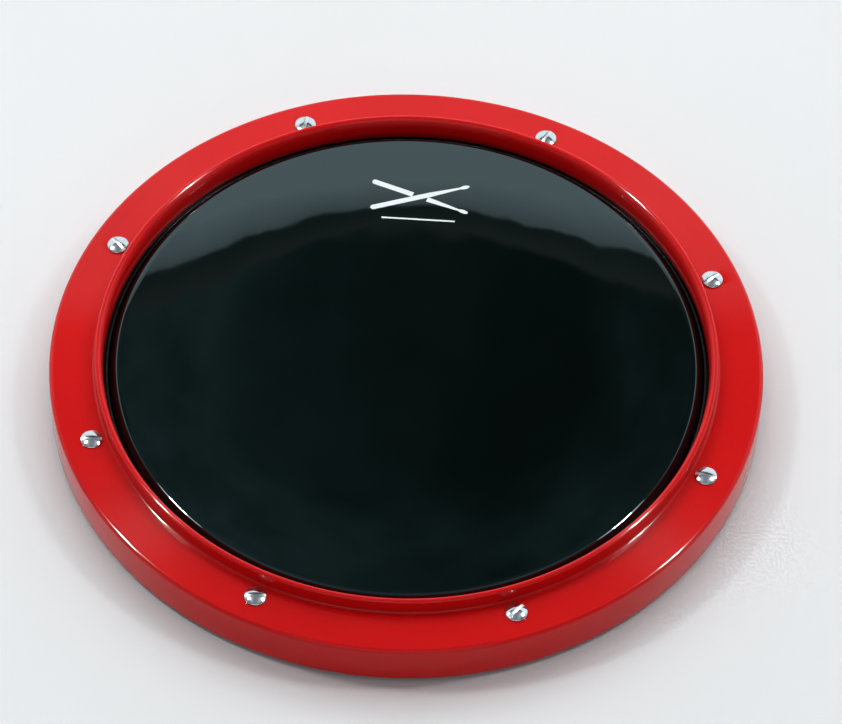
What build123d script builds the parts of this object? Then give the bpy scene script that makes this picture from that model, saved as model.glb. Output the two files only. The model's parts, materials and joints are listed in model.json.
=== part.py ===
from build123d import *
import os
from math import cos, radians, sin

# Tunable round practice pad. A moulded rim is drawn down by eight screws onto the hoop of a small drumhead,
# which stretches the film over a bearing ring on the base. Foam under the film damps it.
# Millimetres, +Z up. The origin is on the table, in the middle of the pad, and +Y is the far side.

# ---- Driving dimensions ----

SCREW_COUNT = 8
SCREW_CIRCLE_R = 113.25
FIRST_SCREW_ANGLE = 22.5

# rim: a flat flange with a raised lip round the playing opening and a skirt round the base
RIM_OUTER_R = 123.5
RIM_OPENING_R = 104.7
FLANGE_TOP = 17.2
FLANGE_THICKNESS = 3.2
LIP_TOP = 23.1
LIP_THICKNESS = 3.0
LIP_ROUND_WIDTH = 1.9
LIP_ROUND_HEIGHT = 4.5
LIP_OUTER_CORNER_R = 1.0
LIP_FOOT_R = 0.9
SKIRT_THICKNESS = 2.5
SKIRT_BOTTOM = 1.8
SKIRT_ROOT_R = 0.6
RIM_CORNER_R = 1.6
SMALL_EDGE = 0.4
SCREW_CLEARANCE_R = 2.4

# drumhead: flat in the middle, falling in a long arc to the shoulder over the bearing ring
FILM_THICKNESS = 0.3
FILM_FLAT_R = 60.0
FILM_TOP = 17.8
FILM_SLOPE = 1.2
SHOULDER_CENTRE_R = 99.8
SHOULDER_R = 1.5
COLLAR_SLANT = 15.0
COLLAR_LENGTH = 4.6

# flesh hoop: a U channel that carries the film's edge
HOOP_INNER_R = 103.3
HOOP_OUTER_R = 107.0
HOOP_HEIGHT = 3.6
HOOP_WALL = 0.6
HOOP_FOOT_R = 0.3

# base: a tray with the bearing ring inside and a wall round it, standing on a rubber grip ring
BASE_BOTTOM = 1.6
FLOOR_TOP = 4.6
BASE_OUTER_R = 119.6
BASE_WALL = 2.0
BASE_WALL_TOP = 12.4
BASE_FOOT_R = 0.8
BASE_BRIM_R = 0.5
BEARING_INNER_R = 97.3
BEARING_OUTER_R = 100.9
BOSS_TOP = 12.0
BOSS_RADIAL = 10.5
BOSS_WIDTH = 11.5
UNDERSIDE_RECESS = 1.2
RIB_COUNT = 16
RIB_WIDTH = 1.6
RIB_INNER_R = 14.0
RIB_OUTER_R = 62.0
RIB_OVERRUN = 1.0

# grip ring under the base
GRIP_INNER_R = 64.2
GRIP_OUTER_R = 103.8
GRIP_HEIGHT = 3.0
GRIP_GAP = 0.2
GRIP_EDGE_R = 0.5

# foam pad between the floor and the film
PAD_R = 96.9
PAD_GAP = 0.1

# threaded insert for an M8 stand, in a boss in the middle of the floor
INSERT_BORE_R = 3.4
INSERT_R = 6.0
INSERT_FLANGE_R = 7.5
INSERT_FLANGE = 1.0
INSERT_LENGTH = 8.6
CENTRE_BOSS_R = 10.0
CENTRE_BOSS_TOP = 11.3
BOSS_CLEARANCE = 0.4

# No. 8 slotted low dome head screws and their square nuts
HEAD_R = 3.8
HEAD_HEIGHT = 1.72
HEAD_EDGE = 0.6
SLOT_WIDTH = 1.25
SLOT_DEPTH = 0.95
SLOT_CUT_LENGTH = 12.0
SHANK_R = 2.08
SHANK_LENGTH = 12.7
SHANK_CHAMFER = 0.5
NUT_BORE_R = 2.13
NUT_SIZE = 8.7
NUT_THICKNESS = 3.2
NUT_ROOF = 9.9
NUT_GAP = 0.1
NUT_CORNER = 0.4

# slot direction of each screw head, as the screws were left when the pad was tuned, in degrees
SLOT_DIRECTIONS = [45.0, 63.0, 82.0, 135.0, 3.0, 3.0, 51.0, 167.0]

os.makedirs("parts", exist_ok=True)


def save(piece, name):
    """Labels a finished piece and writes it as one STEP file."""
    piece.part.label = name
    export_step(piece.part, f"parts/{name}.step")


def circles_at(part, radius, height):
    """The circular edges of a part with this radius about +Z and this height."""
    return part.edges().filter_by(
        lambda edge: edge.geom_type == GeomType.CIRCLE
        and abs(edge.radius - radius) < 0.01
        and abs(edge.position_at(0).Z - height) < 0.01
    )


# ---- Worked out from the driving dimensions ----

lip_outer_r = RIM_OPENING_R + LIP_THICKNESS
skirt_inner_r = RIM_OUTER_R - SKIRT_THICKNESS
flange_bottom = FLANGE_TOP - FLANGE_THICKNESS
hoop_bottom = flange_bottom - HOOP_HEIGHT
lip_crest_r = RIM_OPENING_R + LIP_ROUND_WIDTH
lip_spring = LIP_TOP - LIP_ROUND_HEIGHT
nut_pocket = NUT_SIZE + 2 * NUT_GAP
rib_length = RIB_OUTER_R + RIB_OVERRUN

# the film's long arc meets its shoulder on this slope, and the shoulder's centre lies at this height
slope = radians(FILM_SLOPE)
slant = radians(COLLAR_SLANT)
crown_r = (SHOULDER_CENTRE_R + SHOULDER_R * sin(slope) - FILM_FLAT_R) / sin(slope)
shoulder_z = FILM_TOP - crown_r * (1 - cos(slope)) - SHOULDER_R * cos(slope)


def film_surface(inset, overrun):
    """A closed line: the film's outer surface moved inwards by inset, its collar longer by overrun."""
    reach = SHOULDER_R - inset
    flat = Line((0, FILM_TOP - inset), (FILM_FLAT_R, FILM_TOP - inset))
    crown_end = (SHOULDER_CENTRE_R + reach * sin(slope), shoulder_z + reach * cos(slope))
    crown = TangentArc(flat @ 1, crown_end, tangent=flat % 1)
    shoulder_end = (SHOULDER_CENTRE_R + reach * cos(slant), shoulder_z + reach * sin(slant))
    shoulder = TangentArc(crown @ 1, shoulder_end, tangent=crown % 1)
    length = COLLAR_LENGTH + overrun
    collar_end = (shoulder_end[0] + length * sin(slant), shoulder_end[1] - length * cos(slant))
    collar = Line(shoulder @ 1, collar_end)
    Polyline(collar @ 1, (0, collar_end[1]), flat @ 0)


# ---- Rim ----

with BuildPart() as rim:
    with BuildSketch(Plane.XZ):
        with BuildLine():
            # the lip's inner side leans over to its crest in a quarter ellipse
            EllipticalCenterArc(
                (lip_crest_r, lip_spring), LIP_ROUND_WIDTH, LIP_ROUND_HEIGHT, start_angle=90, arc_size=90
            )
            Polyline(
                (lip_crest_r, LIP_TOP),
                (lip_outer_r, LIP_TOP),
                (lip_outer_r, FLANGE_TOP),
                (RIM_OUTER_R, FLANGE_TOP),
                (RIM_OUTER_R, SKIRT_BOTTOM),
                (skirt_inner_r, SKIRT_BOTTOM),
                (skirt_inner_r, flange_bottom),
                (RIM_OPENING_R, flange_bottom),
                (RIM_OPENING_R, lip_spring),
            )
        make_face()
    revolve(axis=Axis.Z)
    fillet(circles_at(rim, lip_outer_r, LIP_TOP), LIP_OUTER_CORNER_R)
    fillet(circles_at(rim, lip_outer_r, FLANGE_TOP), LIP_FOOT_R)
    fillet(circles_at(rim, RIM_OUTER_R, FLANGE_TOP), RIM_CORNER_R)
    fillet(circles_at(rim, skirt_inner_r, flange_bottom), SKIRT_ROOT_R)
    skirt_edges = circles_at(rim, RIM_OUTER_R, SKIRT_BOTTOM) + circles_at(rim, skirt_inner_r, SKIRT_BOTTOM)
    fillet(skirt_edges, SMALL_EDGE)
    with BuildSketch(Plane.XY.offset(FLANGE_TOP)):
        with PolarLocations(SCREW_CIRCLE_R, SCREW_COUNT, start_angle=FIRST_SCREW_ANGLE):
            Circle(SCREW_CLEARANCE_R)
    extrude(amount=-FLANGE_THICKNESS, mode=Mode.SUBTRACT)
save(rim, "rim")

# ---- Drumhead: film and flesh hoop ----

with BuildPart() as drumhead_film:
    with BuildSketch(Plane.XZ):
        with BuildLine():
            film_surface(inset=0, overrun=0)
        make_face()
    revolve(axis=Axis.Z)
    with BuildSketch(Plane.XZ):
        with BuildLine():
            film_surface(inset=FILM_THICKNESS, overrun=FILM_THICKNESS)
        make_face()
    revolve(axis=Axis.Z, mode=Mode.SUBTRACT)
save(drumhead_film, "drumhead_film")

with BuildPart() as flesh_hoop:
    with BuildSketch(Plane.XZ):
        with BuildLine():
            Polyline(
                (HOOP_INNER_R, flange_bottom),
                (HOOP_INNER_R, hoop_bottom),
                (HOOP_OUTER_R, hoop_bottom),
                (HOOP_OUTER_R, flange_bottom),
                (HOOP_OUTER_R - HOOP_WALL, flange_bottom),
                (HOOP_OUTER_R - HOOP_WALL, hoop_bottom + HOOP_WALL),
                (HOOP_INNER_R + HOOP_WALL, hoop_bottom + HOOP_WALL),
                (HOOP_INNER_R + HOOP_WALL, flange_bottom),
                close=True,
            )
        make_face()
    revolve(axis=Axis.Z)
    hoop_feet = circles_at(flesh_hoop, HOOP_INNER_R, hoop_bottom)
    hoop_feet += circles_at(flesh_hoop, HOOP_OUTER_R, hoop_bottom)
    fillet(hoop_feet, HOOP_FOOT_R)
save(flesh_hoop, "flesh_hoop")

# ---- Base ----

with BuildPart() as base_shell:
    # floor, outer wall and centre boss
    with BuildSketch(Plane.XY.offset(BASE_BOTTOM)):
        Circle(BASE_OUTER_R)
    extrude(amount=FLOOR_TOP - BASE_BOTTOM)
    with BuildSketch(Plane.XY.offset(FLOOR_TOP)):
        Circle(BASE_OUTER_R)
        Circle(BASE_OUTER_R - BASE_WALL, mode=Mode.SUBTRACT)
    extrude(amount=BASE_WALL_TOP - FLOOR_TOP)
    with BuildSketch(Plane.XY.offset(FLOOR_TOP)):
        Circle(CENTRE_BOSS_R)
    extrude(amount=CENTRE_BOSS_TOP - FLOOR_TOP)

    # bearing ring, rounded under the shoulder of the film and falling away inside it
    with BuildSketch(Plane.XZ):
        with BuildLine():
            outer = Line((BEARING_OUTER_R, FLOOR_TOP), (BEARING_OUTER_R, shoulder_z))
            crown = JernArc(outer @ 1, (0, 1), BEARING_OUTER_R - SHOULDER_CENTRE_R, 90)
            Polyline(crown @ 1, (BEARING_INNER_R, shoulder_z), (BEARING_INNER_R, FLOOR_TOP), outer @ 0)
        make_face()
    revolve(axis=Axis.Z)

    # screw bosses, each with a square nut pocket open below and a clearance hole through its roof
    with BuildSketch(Plane.XY.offset(FLOOR_TOP)):
        with PolarLocations(SCREW_CIRCLE_R, SCREW_COUNT, start_angle=FIRST_SCREW_ANGLE):
            Rectangle(BOSS_RADIAL, BOSS_WIDTH)
    extrude(amount=BOSS_TOP - FLOOR_TOP)
    with BuildSketch(Plane.XY.offset(BASE_BOTTOM)):
        with PolarLocations(SCREW_CIRCLE_R, SCREW_COUNT, start_angle=FIRST_SCREW_ANGLE):
            Rectangle(nut_pocket, nut_pocket)
    extrude(amount=NUT_ROOF - BASE_BOTTOM, mode=Mode.SUBTRACT)
    with BuildSketch(Plane.XY.offset(NUT_ROOF)):
        with PolarLocations(SCREW_CIRCLE_R, SCREW_COUNT, start_angle=FIRST_SCREW_ANGLE):
            Circle(SCREW_CLEARANCE_R)
    extrude(amount=BOSS_TOP - NUT_ROOF, mode=Mode.SUBTRACT)

    # ribbed recess and grip ring groove in the underside
    with BuildSketch(Plane.XY.offset(BASE_BOTTOM)):
        Circle(RIB_OUTER_R)
        Circle(RIB_INNER_R, mode=Mode.SUBTRACT)
        with PolarLocations(0, RIB_COUNT):
            Rectangle(rib_length, RIB_WIDTH, align=(Align.MIN, Align.CENTER), mode=Mode.SUBTRACT)
    extrude(amount=UNDERSIDE_RECESS, mode=Mode.SUBTRACT)
    with BuildSketch(Plane.XY.offset(BASE_BOTTOM)):
        Circle(GRIP_OUTER_R + GRIP_GAP)
        Circle(GRIP_INNER_R - GRIP_GAP, mode=Mode.SUBTRACT)
    extrude(amount=GRIP_HEIGHT - BASE_BOTTOM, mode=Mode.SUBTRACT)

    # seat of the threaded insert
    with BuildSketch(Plane.XY.offset(BASE_BOTTOM)):
        Circle(INSERT_R)
    extrude(amount=INSERT_LENGTH, mode=Mode.SUBTRACT)
    with BuildSketch(Plane.XY.offset(BASE_BOTTOM)):
        Circle(INSERT_FLANGE_R)
    extrude(amount=INSERT_FLANGE, mode=Mode.SUBTRACT)

    fillet(circles_at(base_shell, BASE_OUTER_R, BASE_BOTTOM), BASE_FOOT_R)
    fillet(circles_at(base_shell, BASE_OUTER_R, BASE_WALL_TOP), BASE_BRIM_R)
save(base_shell, "base_shell")

with BuildPart() as mount_insert:
    with BuildSketch(Plane.XZ):
        with BuildLine():
            Polyline(
                (INSERT_BORE_R, BASE_BOTTOM),
                (INSERT_FLANGE_R, BASE_BOTTOM),
                (INSERT_FLANGE_R, BASE_BOTTOM + INSERT_FLANGE),
                (INSERT_R, BASE_BOTTOM + INSERT_FLANGE),
                (INSERT_R, BASE_BOTTOM + INSERT_LENGTH),
                (INSERT_BORE_R, BASE_BOTTOM + INSERT_LENGTH),
                close=True,
            )
        make_face()
    revolve(axis=Axis.Z)
save(mount_insert, "mount_insert")

with BuildPart() as grip_ring:
    with BuildSketch(Plane.XY):
        Circle(GRIP_OUTER_R)
        Circle(GRIP_INNER_R, mode=Mode.SUBTRACT)
    extrude(amount=GRIP_HEIGHT)
    grip_feet = circles_at(grip_ring, GRIP_OUTER_R, 0) + circles_at(grip_ring, GRIP_INNER_R, 0)
    fillet(grip_feet, GRIP_EDGE_R)
save(grip_ring, "grip_ring")

# ---- Foam pad under the film ----

with BuildPart() as damper_pad:
    with BuildSketch(Plane.XZ):
        with BuildLine():
            film_surface(inset=FILM_THICKNESS + PAD_GAP, overrun=FILM_TOP - FLOOR_TOP)
        make_face()
    revolve(axis=Axis.Z)
    # the pad is what lies over the floor and inside the bearing ring, round the centre boss
    with BuildSketch(Plane.XY.offset(FLOOR_TOP)):
        Circle(PAD_R)
    extrude(amount=FILM_TOP - FLOOR_TOP, mode=Mode.INTERSECT)
    with BuildSketch(Plane.XY.offset(FLOOR_TOP)):
        Circle(CENTRE_BOSS_R + BOSS_CLEARANCE)
    extrude(amount=CENTRE_BOSS_TOP + BOSS_CLEARANCE - FLOOR_TOP, mode=Mode.SUBTRACT)
save(damper_pad, "damper_pad")

# ---- Tension screws and their nuts ----

for index, slot_direction in enumerate(SLOT_DIRECTIONS):
    angle = radians(FIRST_SCREW_ANGLE + index * 360 / SCREW_COUNT)
    outward = Vector(cos(angle), sin(angle), 0)
    sideways = Vector(sin(angle), -cos(angle), 0)
    centre = outward * SCREW_CIRCLE_R
    seat = centre + Vector(0, 0, FLANGE_TOP)

    with BuildPart() as tension_screw:
        with BuildSketch(Plane(origin=seat, x_dir=outward, z_dir=sideways)):
            with BuildLine():
                tip = Polyline(
                    (0, HEAD_HEIGHT),
                    (0, -SHANK_LENGTH),
                    (SHANK_R - SHANK_CHAMFER, -SHANK_LENGTH),
                    (SHANK_R, SHANK_CHAMFER - SHANK_LENGTH),
                    (SHANK_R, 0),
                    (HEAD_R, 0),
                    (HEAD_R, HEAD_EDGE),
                )
                TangentArc(tip @ 0, tip @ 1, tangent=(1, 0))
            make_face()
        revolve(axis=Axis(seat, (0, 0, 1)))
        slot_x = Vector(cos(radians(slot_direction)), sin(radians(slot_direction)), 0)
        head_top = seat + Vector(0, 0, HEAD_HEIGHT)
        with BuildSketch(Plane(origin=head_top, x_dir=slot_x, z_dir=(0, 0, 1))):
            Rectangle(SLOT_CUT_LENGTH, SLOT_WIDTH)
        extrude(amount=-SLOT_DEPTH, mode=Mode.SUBTRACT)
    save(tension_screw, f"tension_screw_{index + 1}")

    with BuildPart() as square_nut:
        nut_foot = centre + Vector(0, 0, NUT_ROOF - NUT_THICKNESS)
        with BuildSketch(Plane(origin=nut_foot, x_dir=outward, z_dir=(0, 0, 1))):
            Rectangle(NUT_SIZE, NUT_SIZE)
            Circle(NUT_BORE_R, mode=Mode.SUBTRACT)
        extrude(amount=NUT_THICKNESS)
        chamfer(square_nut.edges().filter_by(Axis.Z), NUT_CORNER)
    save(square_nut, f"square_nut_{index + 1}")
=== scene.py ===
import json
import math

import bmesh
import bpy
from mathutils import Matrix, Vector


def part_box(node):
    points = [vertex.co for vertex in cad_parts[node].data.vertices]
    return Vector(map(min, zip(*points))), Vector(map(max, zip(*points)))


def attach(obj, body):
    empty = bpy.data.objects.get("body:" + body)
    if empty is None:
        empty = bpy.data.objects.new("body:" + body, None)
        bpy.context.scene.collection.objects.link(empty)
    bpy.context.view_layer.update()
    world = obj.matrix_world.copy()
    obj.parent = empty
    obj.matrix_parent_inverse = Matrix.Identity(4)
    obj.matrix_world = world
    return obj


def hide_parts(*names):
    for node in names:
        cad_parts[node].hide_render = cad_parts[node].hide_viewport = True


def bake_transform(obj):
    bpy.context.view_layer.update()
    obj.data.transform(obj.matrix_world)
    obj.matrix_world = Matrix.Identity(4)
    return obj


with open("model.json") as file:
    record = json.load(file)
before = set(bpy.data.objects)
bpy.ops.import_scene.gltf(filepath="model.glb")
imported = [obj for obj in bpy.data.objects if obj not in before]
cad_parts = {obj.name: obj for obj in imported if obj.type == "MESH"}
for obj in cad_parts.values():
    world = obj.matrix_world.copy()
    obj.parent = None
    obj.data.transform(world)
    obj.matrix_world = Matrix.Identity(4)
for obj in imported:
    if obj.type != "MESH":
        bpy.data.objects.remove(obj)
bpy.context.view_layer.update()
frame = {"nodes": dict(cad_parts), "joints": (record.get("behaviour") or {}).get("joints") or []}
MM = 0.001
HAIR = 0.01 * MM

# ---- Places read from the frame, in metres ----

rim_low, rim_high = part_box("rim")
hoop_low, hoop_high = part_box("flesh_hoop")
pad_low, pad_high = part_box("damper_pad")
grip_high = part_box("grip_ring")[1]

RIM_R = rim_high.x
LIP_TOP = rim_high.z
SKIRT_BOTTOM = rim_low.z
FLANGE_BOTTOM = hoop_high.z
FILM_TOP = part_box("drumhead_film")[1].z

# ---- Sizes of the shapes made here ----

FLANGE_TOP = FLANGE_BOTTOM + 3.2 * MM
OPENING_R = 104.7 * MM
LIP_CREST_R = 106.6 * MM
LIP_OUTER_R = 107.7 * MM
LIP_ROUND_HEIGHT = 4.5 * MM
LIP_CORNER_R = 1.0 * MM
LIP_FOOT_R = 0.9 * MM
RIM_CORNER_R = 1.6 * MM
SKIRT_INNER_R = 121.0 * MM
SKIRT_ROOT_R = 0.6 * MM
SKIRT_EDGE_R = 0.4 * MM
OPENING_EDGE_R = 0.3 * MM
SCREW_HOLE_R = 2.4 * MM
HOLE_CHAMFER = 0.3 * MM
HOLE_OVERRUN = 0.2 * MM

FILM_THICKNESS = 0.3 * MM
FILM_FLAT_R = 60.0 * MM
FILM_SLOPE = math.radians(1.2)
SHOULDER_CENTRE_R = 99.8 * MM
SHOULDER_R = 1.5 * MM
COLLAR_SLANT = math.radians(15)
HOOP_INNER_R = 103.3 * MM
HOOP_CLEARANCE = 0.02 * MM
COLLAR_FOOT = 0.4 * MM
# the collar's dull look starts this far over the shoulder's centre
COLLAR_LOOK_RISE = 0.7 * MM

HEAD_R = 3.8 * MM
HEAD_HEIGHT = 1.72 * MM
HEAD_EDGE = 0.6 * MM
HEAD_ROUND = 0.45 * MM
HEAD_FOOT = 0.08 * MM
SLOT_WIDTH = 1.25 * MM
SLOT_DEPTH = 0.95 * MM
SLOT_BEVEL = 0.07 * MM
SHANK_R = 2.08 * MM
SHANK_LENGTH = 12.7 * MM
SHANK_POINT = 0.5 * MM
SHANK_IN_HEAD = 0.2 * MM
SCREW_PITCH = 25.4 * MM / 32
THREAD_DEPTH = 0.38 * MM
THREAD_START = 1.2 * MM
THREAD_START_FADE = 0.6 * MM
THREAD_END = 0.4 * MM
THREAD_END_FADE = 1.0 * MM
# in degrees, in the order of the screws
SLOT_DIRECTIONS = [45, 63, 82, 135, 3, 3, 51, 167]

PAD_BORE_R = 10.4 * MM
PAD_BORE_TOP = 11.7 * MM
PAD_BORE_FOOT_R = 0.5 * MM
PAD_BORE_TOP_R = 0.8 * MM
PAD_EDGE_R = 1.2 * MM
PAD_UNDER_SLOPE = 0.5 * MM

GRIP_INNER_R = 64.2 * MM
GRIP_GROOVES = 5
GROOVE_DEPTH = 0.7 * MM
GROOVE_HALF_TOP = 0.5 * MM
GROOVE_HALF_MOUTH = 0.9 * MM
GROOVE_MOUTH_R = 0.25 * MM
GROOVE_TOP_R = 0.2 * MM
GRIP_TOP_R = 0.2 * MM
GRIP_FOOT_R = 0.5 * MM

# the film's long arc, and the height of its shoulder's centre
CROWN_R = (SHOULDER_CENTRE_R + SHOULDER_R * math.sin(FILM_SLOPE) - FILM_FLAT_R) / math.sin(FILM_SLOPE)
SHOULDER_Z = FILM_TOP - CROWN_R * (1 - math.cos(FILM_SLOPE)) - SHOULDER_R * math.cos(FILM_SLOPE)


# ---- Mesh helpers ----


def arc(centre, radius, start, end, steps):
    """Points on an arc in the (radius, height) half plane, angles in radians."""
    angles = [start + (end - start) * k / steps for k in range(steps + 1)]
    return [(centre[0] + radius * math.cos(a), centre[1] + radius * math.sin(a)) for a in angles]


def rounded(corners, steps=8):
    """A closed outline from (radius, height, fillet) corners, each fillet an arc tangent to both sides."""
    points = []
    for k, (x, y, fillet) in enumerate(corners):
        here = Vector((x, y))
        if fillet == 0:
            points.append((x, y))
            continue
        before = (Vector(corners[k - 1][:2]) - here).normalized()
        after = (Vector(corners[(k + 1) % len(corners)][:2]) - here).normalized()
        half = before.angle(after) / 2
        middle = here + (before + after).normalized() * fillet / math.sin(half)
        first = here + before * fillet / math.tan(half) - middle
        turn = first.angle_signed(here + after * fillet / math.tan(half) - middle)
        for step in range(steps + 1):
            spoke = first.copy()
            spoke.rotate(Matrix.Rotation(-turn * step / steps, 2))
            points.append(tuple(middle + spoke))
    return points


def add_piece(name, mesh, material, sharp=32):
    """Links a finished mesh as a smooth-shaded object with creases kept at sharp corners."""
    obj = bpy.data.objects.new(name, mesh)
    bpy.context.scene.collection.objects.link(obj)
    mesh.materials.clear()
    mesh.materials.append(material)
    for face in mesh.polygons:
        face.use_smooth = True
    mesh.set_sharp_from_angle(angle=math.radians(sharp))
    return obj


def lathe_mesh(name, outline, segments, closed=True, radius_at=None):
    """A mesh turned about +Z from (radius, height) points. radius_at(radius, height, angle) may vary it."""
    bm = bmesh.new()
    rings = []
    for r, z in outline:
        if r < 1e-9:
            rings.append([bm.verts.new((0, 0, z))])
            continue
        ring = []
        for k in range(segments):
            a = 2 * math.pi * k / segments
            radius = radius_at(r, z, a) if radius_at else r
            ring.append(bm.verts.new((radius * math.cos(a), radius * math.sin(a), z)))
        rings.append(ring)
    pairs = list(zip(rings, rings[1:]))
    if closed:
        pairs.append((rings[-1], rings[0]))
    for low, high in pairs:
        for k in range(segments):
            n = (k + 1) % segments
            corners = [low[k % len(low)], low[n % len(low)], high[n % len(high)], high[k % len(high)]]
            corners = list(dict.fromkeys(corners))
            if len(corners) > 2:
                bm.faces.new(corners)
    bmesh.ops.recalc_face_normals(bm, faces=bm.faces)
    mesh = bpy.data.meshes.new(name)
    bm.to_mesh(mesh)
    bm.free()
    return mesh


def cut(mesh, cutters):
    """The mesh with each cutter mesh taken out of it."""
    scratch = bpy.data.objects.new("scratch", mesh)
    bpy.context.scene.collection.objects.link(scratch)
    tools = []
    for cutter in cutters:
        tool = bpy.data.objects.new("tool", cutter)
        bpy.context.scene.collection.objects.link(tool)
        tools.append(tool)
        modifier = scratch.modifiers.new("cut", "BOOLEAN")
        modifier.operation = "DIFFERENCE"
        modifier.solver = "EXACT"
        modifier.object = tool
    graph = bpy.context.evaluated_depsgraph_get()
    made = bpy.data.meshes.new_from_object(scratch.evaluated_get(graph))
    for obj in [scratch, *tools]:
        bpy.data.objects.remove(obj)
    return made


# ---- Node materials ----


def shader(name, **inputs):
    """A material with a Principled shader, its constants set on the shader's own sockets."""
    material = bpy.data.materials.new(name)
    material.use_nodes = True
    principled = material.node_tree.nodes["Principled BSDF"]
    for key, value in inputs.items():
        principled.inputs[key.replace("_", " ")].default_value = value
    return material, principled


def node(owner, kind, **settings):
    """Adds a node to a material, world or lamp, with its properties and its inputs' constants by name."""
    made = owner.node_tree.nodes.new(kind)
    for key, value in settings.items():
        if hasattr(made, key):
            setattr(made, key, value)
        else:
            made.inputs[key.replace("_", " ")].default_value = value
    return made


def link(owner, source, target):
    owner.node_tree.links.new(source, target)


def object_point(material):
    return node(material, "ShaderNodeTexCoord").outputs["Object"]


def noise(material, scale, detail=2.0, roughness=0.5):
    made = node(material, "ShaderNodeTexNoise", Scale=scale, Detail=detail, Roughness=roughness)
    link(material, object_point(material), made.inputs["Vector"])
    return made.outputs["Fac"]


def mapped(owner, source, low, high, to_low, to_high):
    """source between low and high, remapped to between to_low and to_high."""
    made = node(owner, "ShaderNodeMapRange")
    for key, value in zip(("From Min", "From Max", "To Min", "To Max"), (low, high, to_low, to_high)):
        made.inputs[key].default_value = value
    link(owner, source, made.inputs["Value"])
    return made.outputs["Result"]


def tinted(material, principled, source, low, high, first, second):
    """Mixes the base colour from first to second as source goes from low to high."""
    made = node(material, "ShaderNodeMix", data_type="RGBA")
    made.inputs["A"].default_value = (*first, 1)
    made.inputs["B"].default_value = (*second, 1)
    link(material, mapped(material, source, low, high, 0, 1), made.inputs["Factor"])
    link(material, made.outputs["Result"], principled.inputs["Base Color"])


def roughened(material, principled, source, low, high, first, second):
    """Takes the roughness from first to second as source goes from low to high."""
    link(material, mapped(material, source, low, high, first, second), principled.inputs["Roughness"])


def bumped(material, principled, *layers):
    """Chains bump layers of (height socket, strength, distance in metres) into the shader's normal."""
    normal = None
    for height, strength, distance in layers:
        made = node(material, "ShaderNodeBump", Strength=strength, Distance=distance)
        link(material, height, made.inputs["Height"])
        if normal:
            link(material, normal, made.inputs["Normal"])
        normal = made.outputs["Normal"]
    link(material, normal, principled.inputs["Normal"])


def red_plastic():
    """Glossy injection moulded red: faint flow variation, turned tool marks and handling scuffs."""
    material, principled = shader(
        "rim_red_plastic", IOR=1.5, Specular_IOR_Level=0.02, Anisotropic=0.95, Anisotropic_Rotation=0.25,
        Coat_Weight=1.0, Coat_Roughness=0.065, Coat_IOR=1.27,
    )
    tangent = node(material, "ShaderNodeTangent", direction_type="RADIAL", axis="Z")
    link(material, tangent.outputs["Tangent"], principled.inputs["Tangent"])
    flow = noise(material, 22, detail=4)
    tinted(material, principled, flow, 0.3, 0.7, (0.57, 0.0025, 0.003), (0.63, 0.0036, 0.004))
    scuff = noise(material, 900, detail=6, roughness=0.7)
    roughened(material, principled, scuff, 0.35, 0.75, 0.32, 0.4)
    bumped(
        material,
        principled,
        (noise(material, 55, detail=1), 0.25, 0.12 * MM),
        (noise(material, 1400, detail=3), 0.05, 0.02 * MM),
    )
    return material


def black_film():
    """Clear-surfaced black polyester film: deep gloss, a slight waviness, uneven haze and fine dust."""
    material, principled = shader("film_black", IOR=1.66, Specular_Tint=(0.7, 0.95, 1.0, 1.0))
    dust = noise(material, 2600, detail=2)
    tinted(material, principled, dust, 0.79, 0.83, (0.0005, 0.0017, 0.0011), (0.05, 0.055, 0.05))
    haze = noise(material, 35, detail=5, roughness=0.65)
    roughened(material, principled, haze, 0.3, 0.75, 0.012, 0.022)
    bumped(material, principled, (noise(material, 28, detail=1), 0.04, 0.02 * MM))
    return material


def collar_film():
    """The film below its shoulder: stretched, hazy and dull where it was formed and glued."""
    material, principled = shader("film_collar_black", IOR=1.5, Specular_IOR_Level=0.15)
    haze = noise(material, 300, detail=4)
    tinted(material, principled, haze, 0.3, 0.7, (0.001, 0.0013, 0.0014), (0.003, 0.0034, 0.0036))
    roughened(material, principled, haze, 0.3, 0.7, 0.3, 0.45)
    return material


def white_ink():
    """Screen printed white ink: slightly mottled, thinner at places."""
    material, principled = shader("print_white_ink", Roughness=0.45, IOR=1.5)
    mottle = noise(material, 1800, detail=4)
    tinted(material, principled, mottle, 0.35, 0.65, (0.7, 0.76, 0.78), (0.82, 0.86, 0.87))
    bumped(material, principled, (noise(material, 4000, detail=2), 0.1, 0.01 * MM))
    return material


def bright_nickel():
    """Polished nickel plate with fine handling scratches."""
    material, principled = shader("screw_nickel", Metallic=1.0)
    tarnish = noise(material, 500, detail=4)
    tinted(material, principled, tarnish, 0.3, 0.7, (0.5, 0.53, 0.56), (0.6, 0.63, 0.66))
    roughened(material, principled, tarnish, 0.3, 0.7, 0.08, 0.13)
    bumped(material, principled, (noise(material, 900, detail=2), 0.06, 0.01 * MM))
    return material


def milled_nickel():
    """The plated slot left by a slitting saw: fine marks run along it, so light spreads across it."""
    material, principled = shader("screw_slot_milled", Metallic=1.0, Anisotropic=0.9)
    across_slot = node(material, "ShaderNodeVectorTransform", vector_type="VECTOR")
    across_slot.convert_from, across_slot.convert_to = "OBJECT", "WORLD"
    across_slot.inputs[0].default_value = (0, 1, 0)
    link(material, across_slot.outputs[0], principled.inputs["Tangent"])
    marks = noise(material, 1500, detail=3)
    tinted(material, principled, marks, 0.3, 0.7, (0.66, 0.67, 0.68), (0.8, 0.81, 0.82))
    roughened(material, principled, marks, 0.3, 0.7, 0.34, 0.42)
    return material


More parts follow.
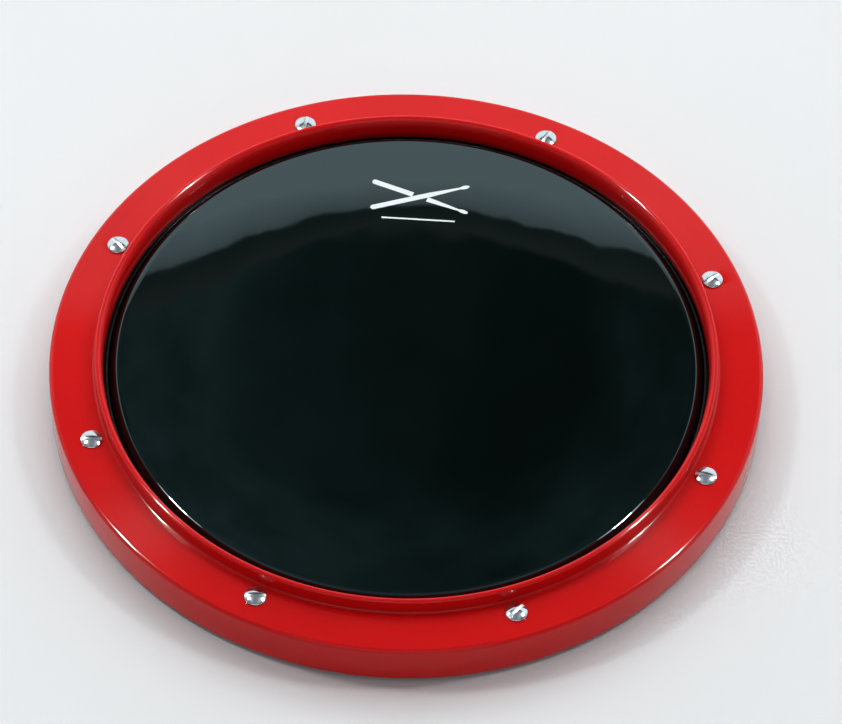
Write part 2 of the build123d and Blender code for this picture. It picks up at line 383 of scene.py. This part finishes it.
def slot_wall_painted_shade():
    """The slot's side walls: dull plating, coloured dark grey as painted shade of the slot, with a random
    mottle.
    """
    material, principled = shader("screw_slot_wall_painted_shade", Metallic=1.0)
    wall_mottle = noise(material, 1200, detail=4)
    # the walls' dark grey is painted shade of the slot; the noise only mottles it
    tinted(material, principled, wall_mottle, 0.3, 0.7, (0.1, 0.1, 0.105), (0.24, 0.24, 0.25))
    roughened(material, principled, wall_mottle, 0.3, 0.7, 0.35, 0.5)
    return material


def zinc_steel():
    """Zinc plate: soft grey, with a fine spangle in its shade and gloss."""
    material, principled = shader("nut_zinc", Metallic=1.0)
    spangle = noise(material, 900, detail=5, roughness=0.7)
    tinted(material, principled, spangle, 0.3, 0.7, (0.42, 0.43, 0.44), (0.66, 0.67, 0.68))
    roughened(material, principled, spangle, 0.3, 0.7, 0.25, 0.45)
    bumped(material, principled, (noise(material, 3000, detail=3), 0.2, 0.02 * MM))
    return material


def turned_brass():
    """Brass with a fine grain and a little tarnish."""
    material, principled = shader("insert_brass", Metallic=1.0)
    tarnish = noise(material, 400, detail=5)
    tinted(material, principled, tarnish, 0.3, 0.75, (0.80, 0.56, 0.25), (0.52, 0.33, 0.14))
    roughened(material, principled, tarnish, 0.3, 0.7, 0.22, 0.4)
    bumped(material, principled, (noise(material, 2500, detail=3), 0.15, 0.02 * MM))
    return material


def base_plastic():
    """Black moulded base: fine spark-eroded texture with a slight sheen and rubbed patches."""
    material, principled = shader("base_black_plastic", IOR=1.5)
    rubbed = noise(material, 40, detail=5, roughness=0.6)
    tinted(material, principled, rubbed, 0.35, 0.7, (0.012, 0.012, 0.013), (0.022, 0.022, 0.024))
    roughened(material, principled, rubbed, 0.35, 0.7, 0.42, 0.58)
    bumped(material, principled, (noise(material, 2200, detail=4), 0.35, 0.04 * MM))
    return material


def shade_black_hoop():
    """Aluminium coloured black as painted shade of the deep gap it sits in, with an uneven sheen and a fine
    grain.
    """
    material, principled = shader("hoop_black_painted_shade", Metallic=1.0)
    grain = noise(material, 700, detail=4)
    # the hoop's near-black is painted shade, not a finish of its own
    tinted(material, principled, grain, 0.3, 0.7, (0.012, 0.012, 0.013), (0.025, 0.025, 0.027))
    roughened(material, principled, grain, 0.3, 0.7, 0.35, 0.5)
    bumped(material, principled, (noise(material, 2500, detail=2), 0.15, 0.02 * MM))
    return material


def grip_rubber():
    """Matt cellular rubber with open pores, each pore darker towards its middle as painted shade."""
    material, principled = shader("grip_cellular_rubber", IOR=1.45)
    pores = node(material, "ShaderNodeTexVoronoi", Scale=1300.0)
    link(material, object_point(material), pores.inputs["Vector"])
    depth = pores.outputs["Distance"]
    # darker towards each pore's middle: painted shade inside the pores
    tinted(material, principled, depth, 0, 0.5, (0.006, 0.006, 0.006), (0.035, 0.035, 0.036))
    roughened(material, principled, depth, 0, 0.6, 0.95, 0.75)
    bumped(material, principled, (depth, 0.5, 0.2 * MM))
    return material


def damping_foam():
    """Grey open cell foam, each cell darker towards its middle as painted shade."""
    material, principled = shader("damping_foam", Roughness=0.95)
    cells = node(material, "ShaderNodeTexVoronoi", Scale=900.0)
    link(material, object_point(material), cells.inputs["Vector"])
    depth = cells.outputs["Distance"]
    # darker towards each cell's middle: painted shade inside the cells
    tinted(material, principled, depth, 0, 0.55, (0.02, 0.02, 0.021), (0.11, 0.11, 0.115))
    bumped(material, principled, (depth, 0.7, 0.4 * MM))
    return material


# ---- Camera ----

AZIMUTH = math.radians(2.61)
ELEVATION = math.radians(51.43)
ROLL = math.radians(1.33)
DISTANCE = 13.06 * RIM_R
ASIDE = 0.0408 * RIM_R
RAISED = 0.0698 * RIM_R
LENS = 197.95

back = Vector((
    math.sin(AZIMUTH) * math.cos(ELEVATION),
    -math.cos(AZIMUTH) * math.cos(ELEVATION),
    math.sin(ELEVATION),
))
right = Vector((math.cos(AZIMUTH), math.sin(AZIMUTH), 0))
up = back.cross(right)
camera_data = bpy.data.cameras.new("camera")
camera_data.lens = LENS
camera = bpy.data.objects.new("camera", camera_data)
bpy.context.scene.collection.objects.link(camera)
rolled_right = right * math.cos(ROLL) + up * math.sin(ROLL)
rolled_up = up * math.cos(ROLL) - right * math.sin(ROLL)
axes = Matrix((rolled_right, rolled_up, back)).transposed()
aim = right * ASIDE + up * RAISED + Vector((0, 0, SKIRT_BOTTOM))
camera.matrix_world = Matrix.Translation(aim + back * DISTANCE) @ axes.to_4x4()
bpy.context.scene.camera = camera

# ---- Rim ----

# the lip's inner side is a quarter of an ellipse, from the opening up to the crest
lip_spring = LIP_TOP - LIP_ROUND_HEIGHT
lip_reach = LIP_CREST_R - OPENING_R
lip_round = [
    (LIP_CREST_R + lip_reach * math.cos(a), lip_spring + LIP_ROUND_HEIGHT * math.sin(a))
    for a in [math.pi - math.pi / 2 * k / 20 for k in range(21)]
]
rim_outline = lip_round + rounded([
    (LIP_CREST_R + 0.02 * MM, LIP_TOP, 0),
    (LIP_OUTER_R, LIP_TOP, LIP_CORNER_R),
    (LIP_OUTER_R, FLANGE_TOP, LIP_FOOT_R),
    (RIM_R, FLANGE_TOP, RIM_CORNER_R),
    (RIM_R, SKIRT_BOTTOM, SKIRT_EDGE_R),
    (SKIRT_INNER_R, SKIRT_BOTTOM, SKIRT_EDGE_R),
    (SKIRT_INNER_R, FLANGE_BOTTOM, SKIRT_ROOT_R),
    (OPENING_R, FLANGE_BOTTOM, OPENING_EDGE_R),
])
screw_axes = [
    Vector(joint["pos_m"]) for joint in frame["joints"] if joint["name"].startswith("screw_")
]
# the cutter of one hole runs past the flange at both ends, with a chamfer at 45 degrees
hole_outline = [
    (0, FLANGE_BOTTOM - MM),
    (SCREW_HOLE_R, FLANGE_BOTTOM - MM),
    (SCREW_HOLE_R, FLANGE_TOP - HOLE_CHAMFER),
    (SCREW_HOLE_R + HOLE_CHAMFER + HOLE_OVERRUN, FLANGE_TOP + HOLE_OVERRUN),
    (0, FLANGE_TOP + HOLE_OVERRUN),
]
hole_cutters = []
for place in screw_axes:
    cutter = lathe_mesh("hole", hole_outline, 48, closed=False)
    cutter.transform(Matrix.Translation((place.x, place.y, 0)))
    hole_cutters.append(cutter)
rim = add_piece("rim_moulding", cut(lathe_mesh("rim", rim_outline, 512), hole_cutters), red_plastic())
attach(rim, "rim")
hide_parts("rim")

# ---- Drumhead film ----


def film_line(inset):
    """The film's surface from the axis to the collar's end, moved inwards by inset."""
    reach = SHOULDER_R - inset
    long_arc_centre = (FILM_FLAT_R, FILM_TOP - CROWN_R)
    line = [(FILM_FLAT_R * k / 6, FILM_TOP - inset) for k in range(6)]
    line += arc(long_arc_centre, CROWN_R - inset, math.pi / 2, math.pi / 2 - FILM_SLOPE, 30)
    line += arc((SHOULDER_CENTRE_R, SHOULDER_Z), reach, math.pi / 2 - FILM_SLOPE, COLLAR_SLANT, 14)[1:]
    # the collar leans out to a knee just under the hoop's top, and goes down beside its inner wall
    start = Vector(line[-1])
    knee = Vector((HOOP_INNER_R - HOOP_CLEARANCE - inset, hoop_high.z - 0.6 * MM))
    foot = Vector((knee.x, hoop_low.z + COLLAR_FOOT))
    for share in (0.3, 0.6, 0.85):
        line.append(tuple(start.lerp(knee, share)))
    for share in (0.05, 0.5, 1.0):
        line.append(tuple(knee.lerp(foot, share)))
    return line


def film_height(r):
    """Height of the film's top at this distance from the axis."""
    beyond = max(0.0, r - FILM_FLAT_R)
    return FILM_TOP - CROWN_R + math.sqrt(CROWN_R**2 - beyond**2)


film_outline = film_line(0) + film_line(FILM_THICKNESS)[::-1]
film = add_piece("film", lathe_mesh("film", film_outline, 384, closed=False), black_film())
film.data.materials.append(collar_film())
for face in film.data.polygons:
    face.material_index = int(face.center.z < SHOULDER_Z + COLLAR_LOOK_RISE)
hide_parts("drumhead_film")
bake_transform(film)

# ---- Printed mark: crossed drumsticks over a rule ----

MARK_CENTRE = Vector((0, 71.2 * MM))
INK = 0.02 * MM
STICK_LENGTH = 37 * MM
STICK_ANGLE = math.radians(20)
STICKS_RISE = 2.2 * MM
CROSSING_GAP = 2.7 * MM
RULE_DROP = 8.3 * MM
RULE_LENGTH = 26 * MM
RULE_WIDTH = 0.7 * MM


def strip(bm, centre_line, half_width_at):
    """A printed strip along a line, with its half width given along it, laid on the film."""
    rows = []
    steps = 60
    first, last = centre_line
    along = (last - first).normalized()
    sideways = Vector((-along.y, along.x))
    for k in range(steps + 1):
        share = k / steps
        middle = first.lerp(last, share)
        half = half_width_at(share)
        row = []
        for side in (-1, -0.5, 0, 0.5, 1):
            point = middle + sideways * side * half
            row.append(bm.verts.new((point.x, point.y, film_height(point.length) + INK)))
        rows.append(row)
    for low, high in zip(rows, rows[1:]):
        for k in range(4):
            bm.faces.new((low[k], low[k + 1], high[k + 1], high[k]))


def stick_half_width(share):
    """Half width of a drumstick from its rounded butt to its bead tip."""
    butt, neck, bead = 1.05 * MM, 0.42 * MM, 0.8 * MM
    butt_rounded, taper_start, taper_end, bead_middle = 0.03, 0.6, 0.9, 0.95
    # neither end comes down to no width, so that every face of the strip has an area
    if share < butt_rounded:
        return butt * math.sqrt(1 - (1 - share / butt_rounded) ** 2) * 0.999 + 0.001 * butt
    if share < taper_start:
        return butt
    if share < taper_end:
        return butt + (neck - butt) * (share - taper_start) / (taper_end - taper_start)
    swell = bead * math.sqrt(max(0.0, 1 - ((share - bead_middle) / (1 - bead_middle)) ** 2))
    return (max(neck, swell) if share < bead_middle else swell) + 0.001 * MM


mark_bm = bmesh.new()
crossing = MARK_CENTRE + Vector((0, STICKS_RISE))
upper_stick = Vector((math.cos(STICK_ANGLE), math.sin(STICK_ANGLE)))
lower_stick = Vector((math.cos(STICK_ANGLE), -math.sin(STICK_ANGLE)))
half_stick = STICK_LENGTH / 2
whole = (crossing - upper_stick * half_stick, crossing + upper_stick * half_stick)
strip(mark_bm, whole, stick_half_width)
# the second stick passes under the first, so it is printed in two lengths with a gap between
before_gap = 0.5 - CROSSING_GAP / STICK_LENGTH
butt_end = (crossing - lower_stick * half_stick, crossing - lower_stick * CROSSING_GAP)
strip(mark_bm, butt_end, lambda t: stick_half_width(t * before_gap))
tip_end = (crossing + lower_stick * CROSSING_GAP, crossing + lower_stick * half_stick)
strip(mark_bm, tip_end, lambda t: stick_half_width(1 - before_gap + t * before_gap))
rule_y = MARK_CENTRE.y - RULE_DROP
rule = (Vector((-RULE_LENGTH / 2, rule_y)), Vector((RULE_LENGTH / 2, rule_y)))
strip(mark_bm, rule, lambda t: RULE_WIDTH / 2)
bmesh.ops.recalc_face_normals(mark_bm, faces=mark_bm.faces)
mark_mesh = bpy.data.meshes.new("printed_mark")
mark_bm.to_mesh(mark_mesh)
mark_bm.free()
mark = add_piece("printed_mark", mark_mesh, white_ink())
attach(mark, "base")

# ---- Tension screws ----


def thread_radius(r, z, angle):
    """Radius of the shank's surface: a triangular right-hand thread that runs out at both ends."""
    above_tip = min(1.0, max(0.0, (z + SHANK_LENGTH - THREAD_END) / THREAD_END_FADE))
    below_head = min(1.0, max(0.0, (-THREAD_START - z) / THREAD_START_FADE))
    turn = (z / SCREW_PITCH - angle / (2 * math.pi)) % 1
    depth = THREAD_DEPTH * (1 - abs(2 * turn - 1))
    return r - depth * above_tip * below_head


# the head is a low dome whose rim is rounded into a short upright edge
dome_rise = HEAD_HEIGHT - HEAD_EDGE
dome_r = (HEAD_R**2 + dome_rise**2) / (2 * dome_rise)
round_out = HEAD_R - HEAD_ROUND
round_up = HEAD_HEIGHT - dome_r + math.sqrt((dome_r - HEAD_ROUND) ** 2 - round_out**2)
dome_end = math.acos(round_out / (dome_r - HEAD_ROUND))
head_outline = arc((0, HEAD_HEIGHT - dome_r), dome_r, math.pi / 2, dome_end, 20)
head_outline[0] = (0, HEAD_HEIGHT)
head_outline += arc((round_out, round_up), HEAD_ROUND, dome_end, 0, 10)[1:]
head_outline += [(HEAD_R, HEAD_FOOT), (HEAD_R - HEAD_FOOT, 0), (0, 0)]
slot_bm = bmesh.new()
bmesh.ops.create_cube(slot_bm, size=1)
slot_box = bpy.data.meshes.new("slot")
slot_bm.to_mesh(slot_box)
slot_bm.free()
slot_size = Matrix.Diagonal((3 * HEAD_R, SLOT_WIDTH, 2 * SLOT_DEPTH, 1))
slot_box.transform(Matrix.Translation((0, 0, HEAD_HEIGHT)) @ slot_size)
head_mesh = cut(lathe_mesh("screw_head", head_outline, 96, closed=False), [slot_box])

shank_rows = int(SHANK_LENGTH / SCREW_PITCH * 8)
row_drop = (SHANK_IN_HEAD + SHANK_LENGTH - SHANK_POINT) / shank_rows
shank_outline = [(0, SHANK_IN_HEAD)]
shank_outline += [(SHANK_R, SHANK_IN_HEAD - row_drop * k) for k in range(shank_rows + 1)]
shank_outline += [(SHANK_R - SHANK_POINT, -SHANK_LENGTH), (0, -SHANK_LENGTH)]
shank_mesh = lathe_mesh("screw_shank", shank_outline, 48, closed=False, radius_at=thread_radius)

screw_bm = bmesh.new()
screw_bm.from_mesh(head_mesh)
slot_edges = [e for e in screw_bm.edges if e.is_manifold and e.calc_face_angle(0) > math.radians(35)]
slot_edges = [e for e in slot_edges if min(v.co.z for v in e.verts) > 2 * HEAD_FOOT]
bmesh.ops.bevel(
    screw_bm, geom=slot_edges, offset=SLOT_BEVEL, segments=2, profile=0.5, affect="EDGES", clamp_overlap=True
)
screw_bm.from_mesh(shank_mesh)
screw_mesh = bpy.data.meshes.new("tension_screw")
screw_bm.to_mesh(screw_mesh)
screw_bm.free()
nickel, milled, slot_wall = bright_nickel(), milled_nickel(), slot_wall_painted_shade()
slot_floor = HEAD_HEIGHT - SLOT_DEPTH
# the looks of the slot's faces: 1 for its milled floor and 2 for its side walls, whose dark grey is painted
# shade
in_slot = {}
for face in screw_mesh.polygons:
    middle = face.center
    if middle.z < slot_floor - HAIR or abs(middle.y) > SLOT_WIDTH / 2 + HAIR:
        continue
    if abs(face.normal.z) > 0.99:
        in_slot[face.index] = 1
    elif abs(face.normal.y) > 0.99:
        in_slot[face.index] = 2
for k, (place, direction) in enumerate(zip(screw_axes, SLOT_DIRECTIONS), start=1):
    screw = add_piece(f"slotted_screw_{k}", screw_mesh, nickel, sharp=40)
    screw_mesh.materials.append(milled)
    screw_mesh.materials.append(slot_wall)
    for index, look in in_slot.items():
        screw_mesh.polygons[index].material_index = look
    turned = Matrix.Rotation(math.radians(direction), 4, "Z")
    screw.matrix_world = Matrix.Translation((place.x, place.y, FLANGE_TOP)) @ turned
    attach(screw, f"screw_{k}")
    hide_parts(f"tension_screw_{k}")

# ---- Foam pad under the film ----

pad_mesh = lathe_mesh("foam", rounded([
    (PAD_BORE_R, pad_low.z, PAD_BORE_FOOT_R),
    (pad_high.x, pad_low.z, PAD_EDGE_R),
    (pad_high.x, film_height(pad_high.x) - PAD_UNDER_SLOPE, PAD_EDGE_R),
    (FILM_FLAT_R, pad_high.z, 0),
    (HAIR, pad_high.z, 0),
    (HAIR, PAD_BORE_TOP, 0),
    (PAD_BORE_R, PAD_BORE_TOP, PAD_BORE_TOP_R),
]), 192)
foam = add_piece("foam_disc", pad_mesh, damping_foam())
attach(foam, "base")
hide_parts("damper_pad")

# ---- Grip ring ----

grip_corners = [
    (grip_high.x, 0, GRIP_FOOT_R),
    (grip_high.x, grip_high.z, GRIP_TOP_R),
    (GRIP_INNER_R, grip_high.z, GRIP_TOP_R),
    (GRIP_INNER_R, 0, GRIP_FOOT_R),
]
groove_pitch = (grip_high.x - GRIP_INNER_R) / (GRIP_GROOVES + 1)
for k in range(1, GRIP_GROOVES + 1):
    middle = GRIP_INNER_R + groove_pitch * k
    grip_corners += [
        (middle - GROOVE_HALF_MOUTH, 0, GROOVE_MOUTH_R),
        (middle - GROOVE_HALF_TOP, GROOVE_DEPTH, GROOVE_TOP_R),
        (middle + GROOVE_HALF_TOP, GROOVE_DEPTH, GROOVE_TOP_R),
        (middle + GROOVE_HALF_MOUTH, 0, GROOVE_MOUTH_R),
    ]
grip = add_piece("cellular_grip_ring", lathe_mesh("grip", rounded(grip_corners, 4), 256), grip_rubber())
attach(grip, "base")
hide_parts("grip_ring")

# ---- CAD nodes whose shape is kept ----

kept = {"base_shell": base_plastic(), "mount_insert": turned_brass(), "flesh_hoop": shade_black_hoop()}
zinc = zinc_steel()
for k in range(1, 9):
    kept[f"square_nut_{k}"] = zinc
for name, material in kept.items():
    cad = frame["nodes"][name]
    cad.data.materials.clear()
    cad.data.materials.append(material)

# ---- Floor ----

FLOOR_HALF_SIDE = 6.0
FLOOR_GAP = 0.1 * MM
floor_bm = bmesh.new()
bmesh.ops.create_grid(floor_bm, x_segments=4, y_segments=4, size=FLOOR_HALF_SIDE)
floor_mesh = bpy.data.meshes.new("floor")
floor_bm.to_mesh(floor_mesh)
floor_bm.free()
floor_look, floor_shader = shader("floor_pale", Roughness=0.6)
paper = noise(floor_look, 3, detail=3)
tinted(floor_look, floor_shader, paper, 0.3, 0.7, (0.70, 0.70, 0.70), (0.73, 0.73, 0.735))
# seen from below the floor is clear, so that it doesn't hide the underside
one_sided = node(floor_look, "ShaderNodeMixShader")
link(floor_look, node(floor_look, "ShaderNodeNewGeometry").outputs["Backfacing"], one_sided.inputs[0])
link(floor_look, floor_shader.outputs["BSDF"], one_sided.inputs[1])
link(floor_look, node(floor_look, "ShaderNodeBsdfTransparent").outputs[0], one_sided.inputs[2])
link(floor_look, one_sided.outputs[0], floor_look.node_tree.nodes["Material Output"].inputs["Surface"])
floor = bpy.data.objects.new("floor", floor_mesh)
floor.location.z = -FLOOR_GAP
floor_mesh.materials.append(floor_look)
bpy.context.scene.collection.objects.link(floor)

# ---- World ----

# The film mirrors this world: a bright far wall, a thin band along its top, and a dark ceiling.
# Heights are sines of the elevation.
WALL_TOP = math.sin(math.radians(49.1))
BAND_HEIGHT = 0.0098
BAND_TOP = WALL_TOP + BAND_HEIGHT
WALL_FADE = 0.013
WALL_BLUR = 0.0006
BAND_BLUR = 0.0012
world = bpy.data.worlds.new("studio")
bpy.context.scene.world = world
world.use_nodes = True
towards = node(world, "ShaderNodeTexCoord").outputs["Generated"]
split = node(world, "ShaderNodeSeparateXYZ")
link(world, towards, split.inputs[0])
across, depth_way, upward = split.outputs


def combined(operation, first, second):
    """A world math node of two sockets, or of a socket and a number."""
    made = node(world, "ShaderNodeMath", operation=operation)
    for slot, value in enumerate((first, second)):
        if isinstance(value, float):
            made.inputs[slot].default_value = value
        else:
            link(world, value, made.inputs[slot])
    return made.outputs[0]


def layered(factor, below, above):
    """One world colour over another by a factor; each colour is a socket or a tuple."""
    made = node(world, "ShaderNodeMix", data_type="RGBA")
    link(world, factor, made.inputs["Factor"])
    for slot, value in (("A", below), ("B", above)):
        if isinstance(value, tuple):
            made.inputs[slot].default_value = (*value, 1)
        else:
            link(world, value, made.inputs[slot])
    return made.outputs["Result"]


# the wall's top is ragged and a little out of level
ripple = node(world, "ShaderNodeTexNoise", Scale=55.0, Detail=6.0)
link(world, towards, ripple.inputs["Vector"])
ragged = combined("ADD", upward, mapped(world, ripple.outputs["Fac"], 0.3, 0.7, -0.0016, 0.0016))
ragged = combined("ADD", ragged, mapped(world, across, -0.1, 0.1, -0.0012, 0.006))
wall = mapped(world, ragged, WALL_TOP - WALL_BLUR, WALL_TOP + WALL_BLUR, 1, 0)
band = mapped(world, ragged, BAND_TOP - BAND_BLUR, BAND_TOP + BAND_BLUR, 1, 0)
up_band = mapped(world, ragged, WALL_TOP, BAND_TOP, 0, 1)
band_look = layered(up_band, (0.064, 0.084, 0.089), (0.158, 0.156, 0.15))

# the ceiling over them is faintly clouded, and darkest straight across from the camera
glow = mapped(world, across, -0.06, -0.01, 0.31, 0.13)
for lift in (
    mapped(world, across, -0.085, -0.058, 0.24, 0),
    mapped(world, across, 0.008, 0.03, 0, 0.16),
    mapped(world, upward, 0.795, 0.817, 0, 0.22),
):
    glow = combined("ADD", glow, lift)
clouds = node(world, "ShaderNodeTexNoise", Scale=45.0, Detail=4.0)
link(world, towards, clouds.inputs["Vector"])
glow = combined("MULTIPLY", glow, mapped(world, clouds.outputs["Fac"], 0.35, 0.65, 0.75, 1.25))
dark_ceiling = layered(glow, (0.0, 0.0, 0.0), (0.18, 0.27, 0.28))

# overhead it is light again, and lightest at the sides
aside = combined("ABSOLUTE", across, 0.0)
overhead_from, overhead_to = math.sin(math.radians(57)), math.sin(math.radians(68))
overhead = mapped(world, upward, overhead_from, overhead_to, 0, 1)
high_light = layered(mapped(world, aside, 0.12, 0.4, 0, 1), (0.27, 0.31, 0.35), (0.6, 0.62, 0.63))
ceiling = layered(overhead, layered(band, dark_ceiling, band_look), high_light)

# the wall on the camera's side is dimmer than the far one
near_side = layered(mapped(world, upward, 0.25, 0.4, 0, 1), (0.7, 0.7, 0.71), (0.27, 0.27, 0.275))
up_wall = mapped(world, ragged, WALL_TOP - WALL_FADE, WALL_TOP, 0, 1)
far_wall = layered(up_wall, (1.18, 1.28, 1.33), (0.6, 0.66, 0.7))
walls = layered(mapped(world, depth_way, 0.1, 0.5, 0, 1), near_side, far_wall)
sky = layered(wall, ceiling, walls)
background = world.node_tree.nodes["Background"]
link(world, sky, background.inputs["Color"])
background.inputs["Strength"].default_value = 1.0

# ---- Lamps ----


def lamp(name, direction, distance, power, size, height=None, *, lights):
    """An area lamp in this direction, aimed at the pad: a disc, or a rectangle if it has a height.

    Lengths are in metres and power in watts. lights is "glints" for a lamp that only shows in
    reflections, and "surfaces" for one that only gives diffuse light.
    """
    data = bpy.data.lights.new(name, "AREA")
    data.shape = "RECTANGLE" if height else "DISK"
    data.size = size
    data.size_y = height or size
    data.energy = power
    if lights == "glints":
        # off after a diffuse bounce, so the glossy rim throws none of their light on the floor
        data.use_nodes = True
        bounces = node(data, "ShaderNodeLightPath").outputs["Diffuse Depth"]
        before_any = node(data, "ShaderNodeMath", operation="LESS_THAN")
        before_any.inputs[1].default_value = 0.5
        link(data, bounces, before_any.inputs[0])
        link(data, before_any.outputs[0], data.node_tree.nodes["Emission"].inputs["Strength"])
    obj = bpy.data.objects.new(name, data)
    bpy.context.scene.collection.objects.link(obj)
    obj.visible_camera = False
    obj.visible_glossy = lights != "surfaces"
    obj.visible_diffuse = lights != "glints"
    aimed = Vector(direction).normalized()
    facing_pad = aimed.to_track_quat("Z", "Y").to_matrix().to_4x4()
    obj.matrix_world = Matrix.Translation(aimed * distance) @ facing_pad


# at each side: a small bright lamp, the halo round it, and the diffuse light of both
LAMP_DISTANCE = 1.5
for side, towards_lamp in (("right", (0.58, 0.11, 0.81)), ("left", (-0.58, 0.095, 0.81))):
    lamp(f"lamp_{side}", towards_lamp, LAMP_DISTANCE, 45, 0.125, lights="glints")
    lamp(f"halo_{side}", towards_lamp, LAMP_DISTANCE, 3.0, 0.31, lights="glints")
    lamp(f"fill_{side}", towards_lamp, LAMP_DISTANCE, 2.9, 0.25, lights="surfaces")
lamp("soft_box_behind", (0, 0.42, 0.9), 0.8, 3.9, 1.0, 0.55, lights="surfaces")
lamp("reflector_in_front", (0, -0.85, 0.53), 1.6, 3.4, 1.5, 0.8, lights="glints")

bpy.context.scene.view_settings.view_transform = "Standard"
